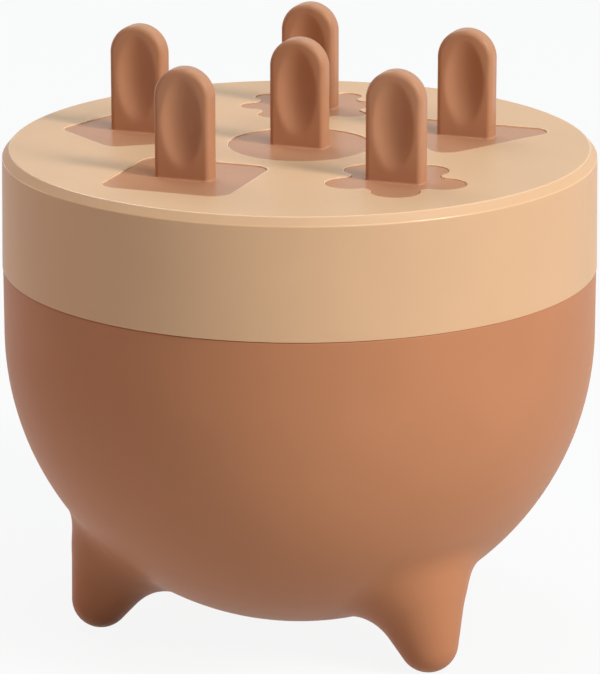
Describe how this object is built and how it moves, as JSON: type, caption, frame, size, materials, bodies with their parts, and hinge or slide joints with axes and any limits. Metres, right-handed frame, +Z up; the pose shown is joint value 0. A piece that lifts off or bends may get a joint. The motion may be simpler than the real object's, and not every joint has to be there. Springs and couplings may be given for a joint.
{
  "type": "ice pop mold",
  "caption": "Round ice pop mold: a bowl on three soft legs carries a tray of shaped cells, each closed by a flush cap with an upright grip and a stick.",
  "frame": {"origin": "on the table, under the middle of the bowl", "axes": "+Z up along the bowl's axis; -Y towards the viewer of the picture, +X to its right"},
  "size_m": [0.16, 0.16, 0.1625],
  "materials": {
    "bowl_plastic": "satin terracotta brown",
    "tray_plastic": "satin cream",
    "handle_plastic": "satin cocoa brown"
  },
  "bodies": {
    "root": {"bowl": "bowl_plastic", "mold_tray": "tray_plastic", "pop_handle_circle": "handle_plastic", "pop_handle_square": "handle_plastic", "pop_handle_star": "handle_plastic", "pop_handle_triangle": "handle_plastic", "pop_handle_pentagon": "handle_plastic", "pop_handle_flower": "handle_plastic"}
  },
  "joints": []
}
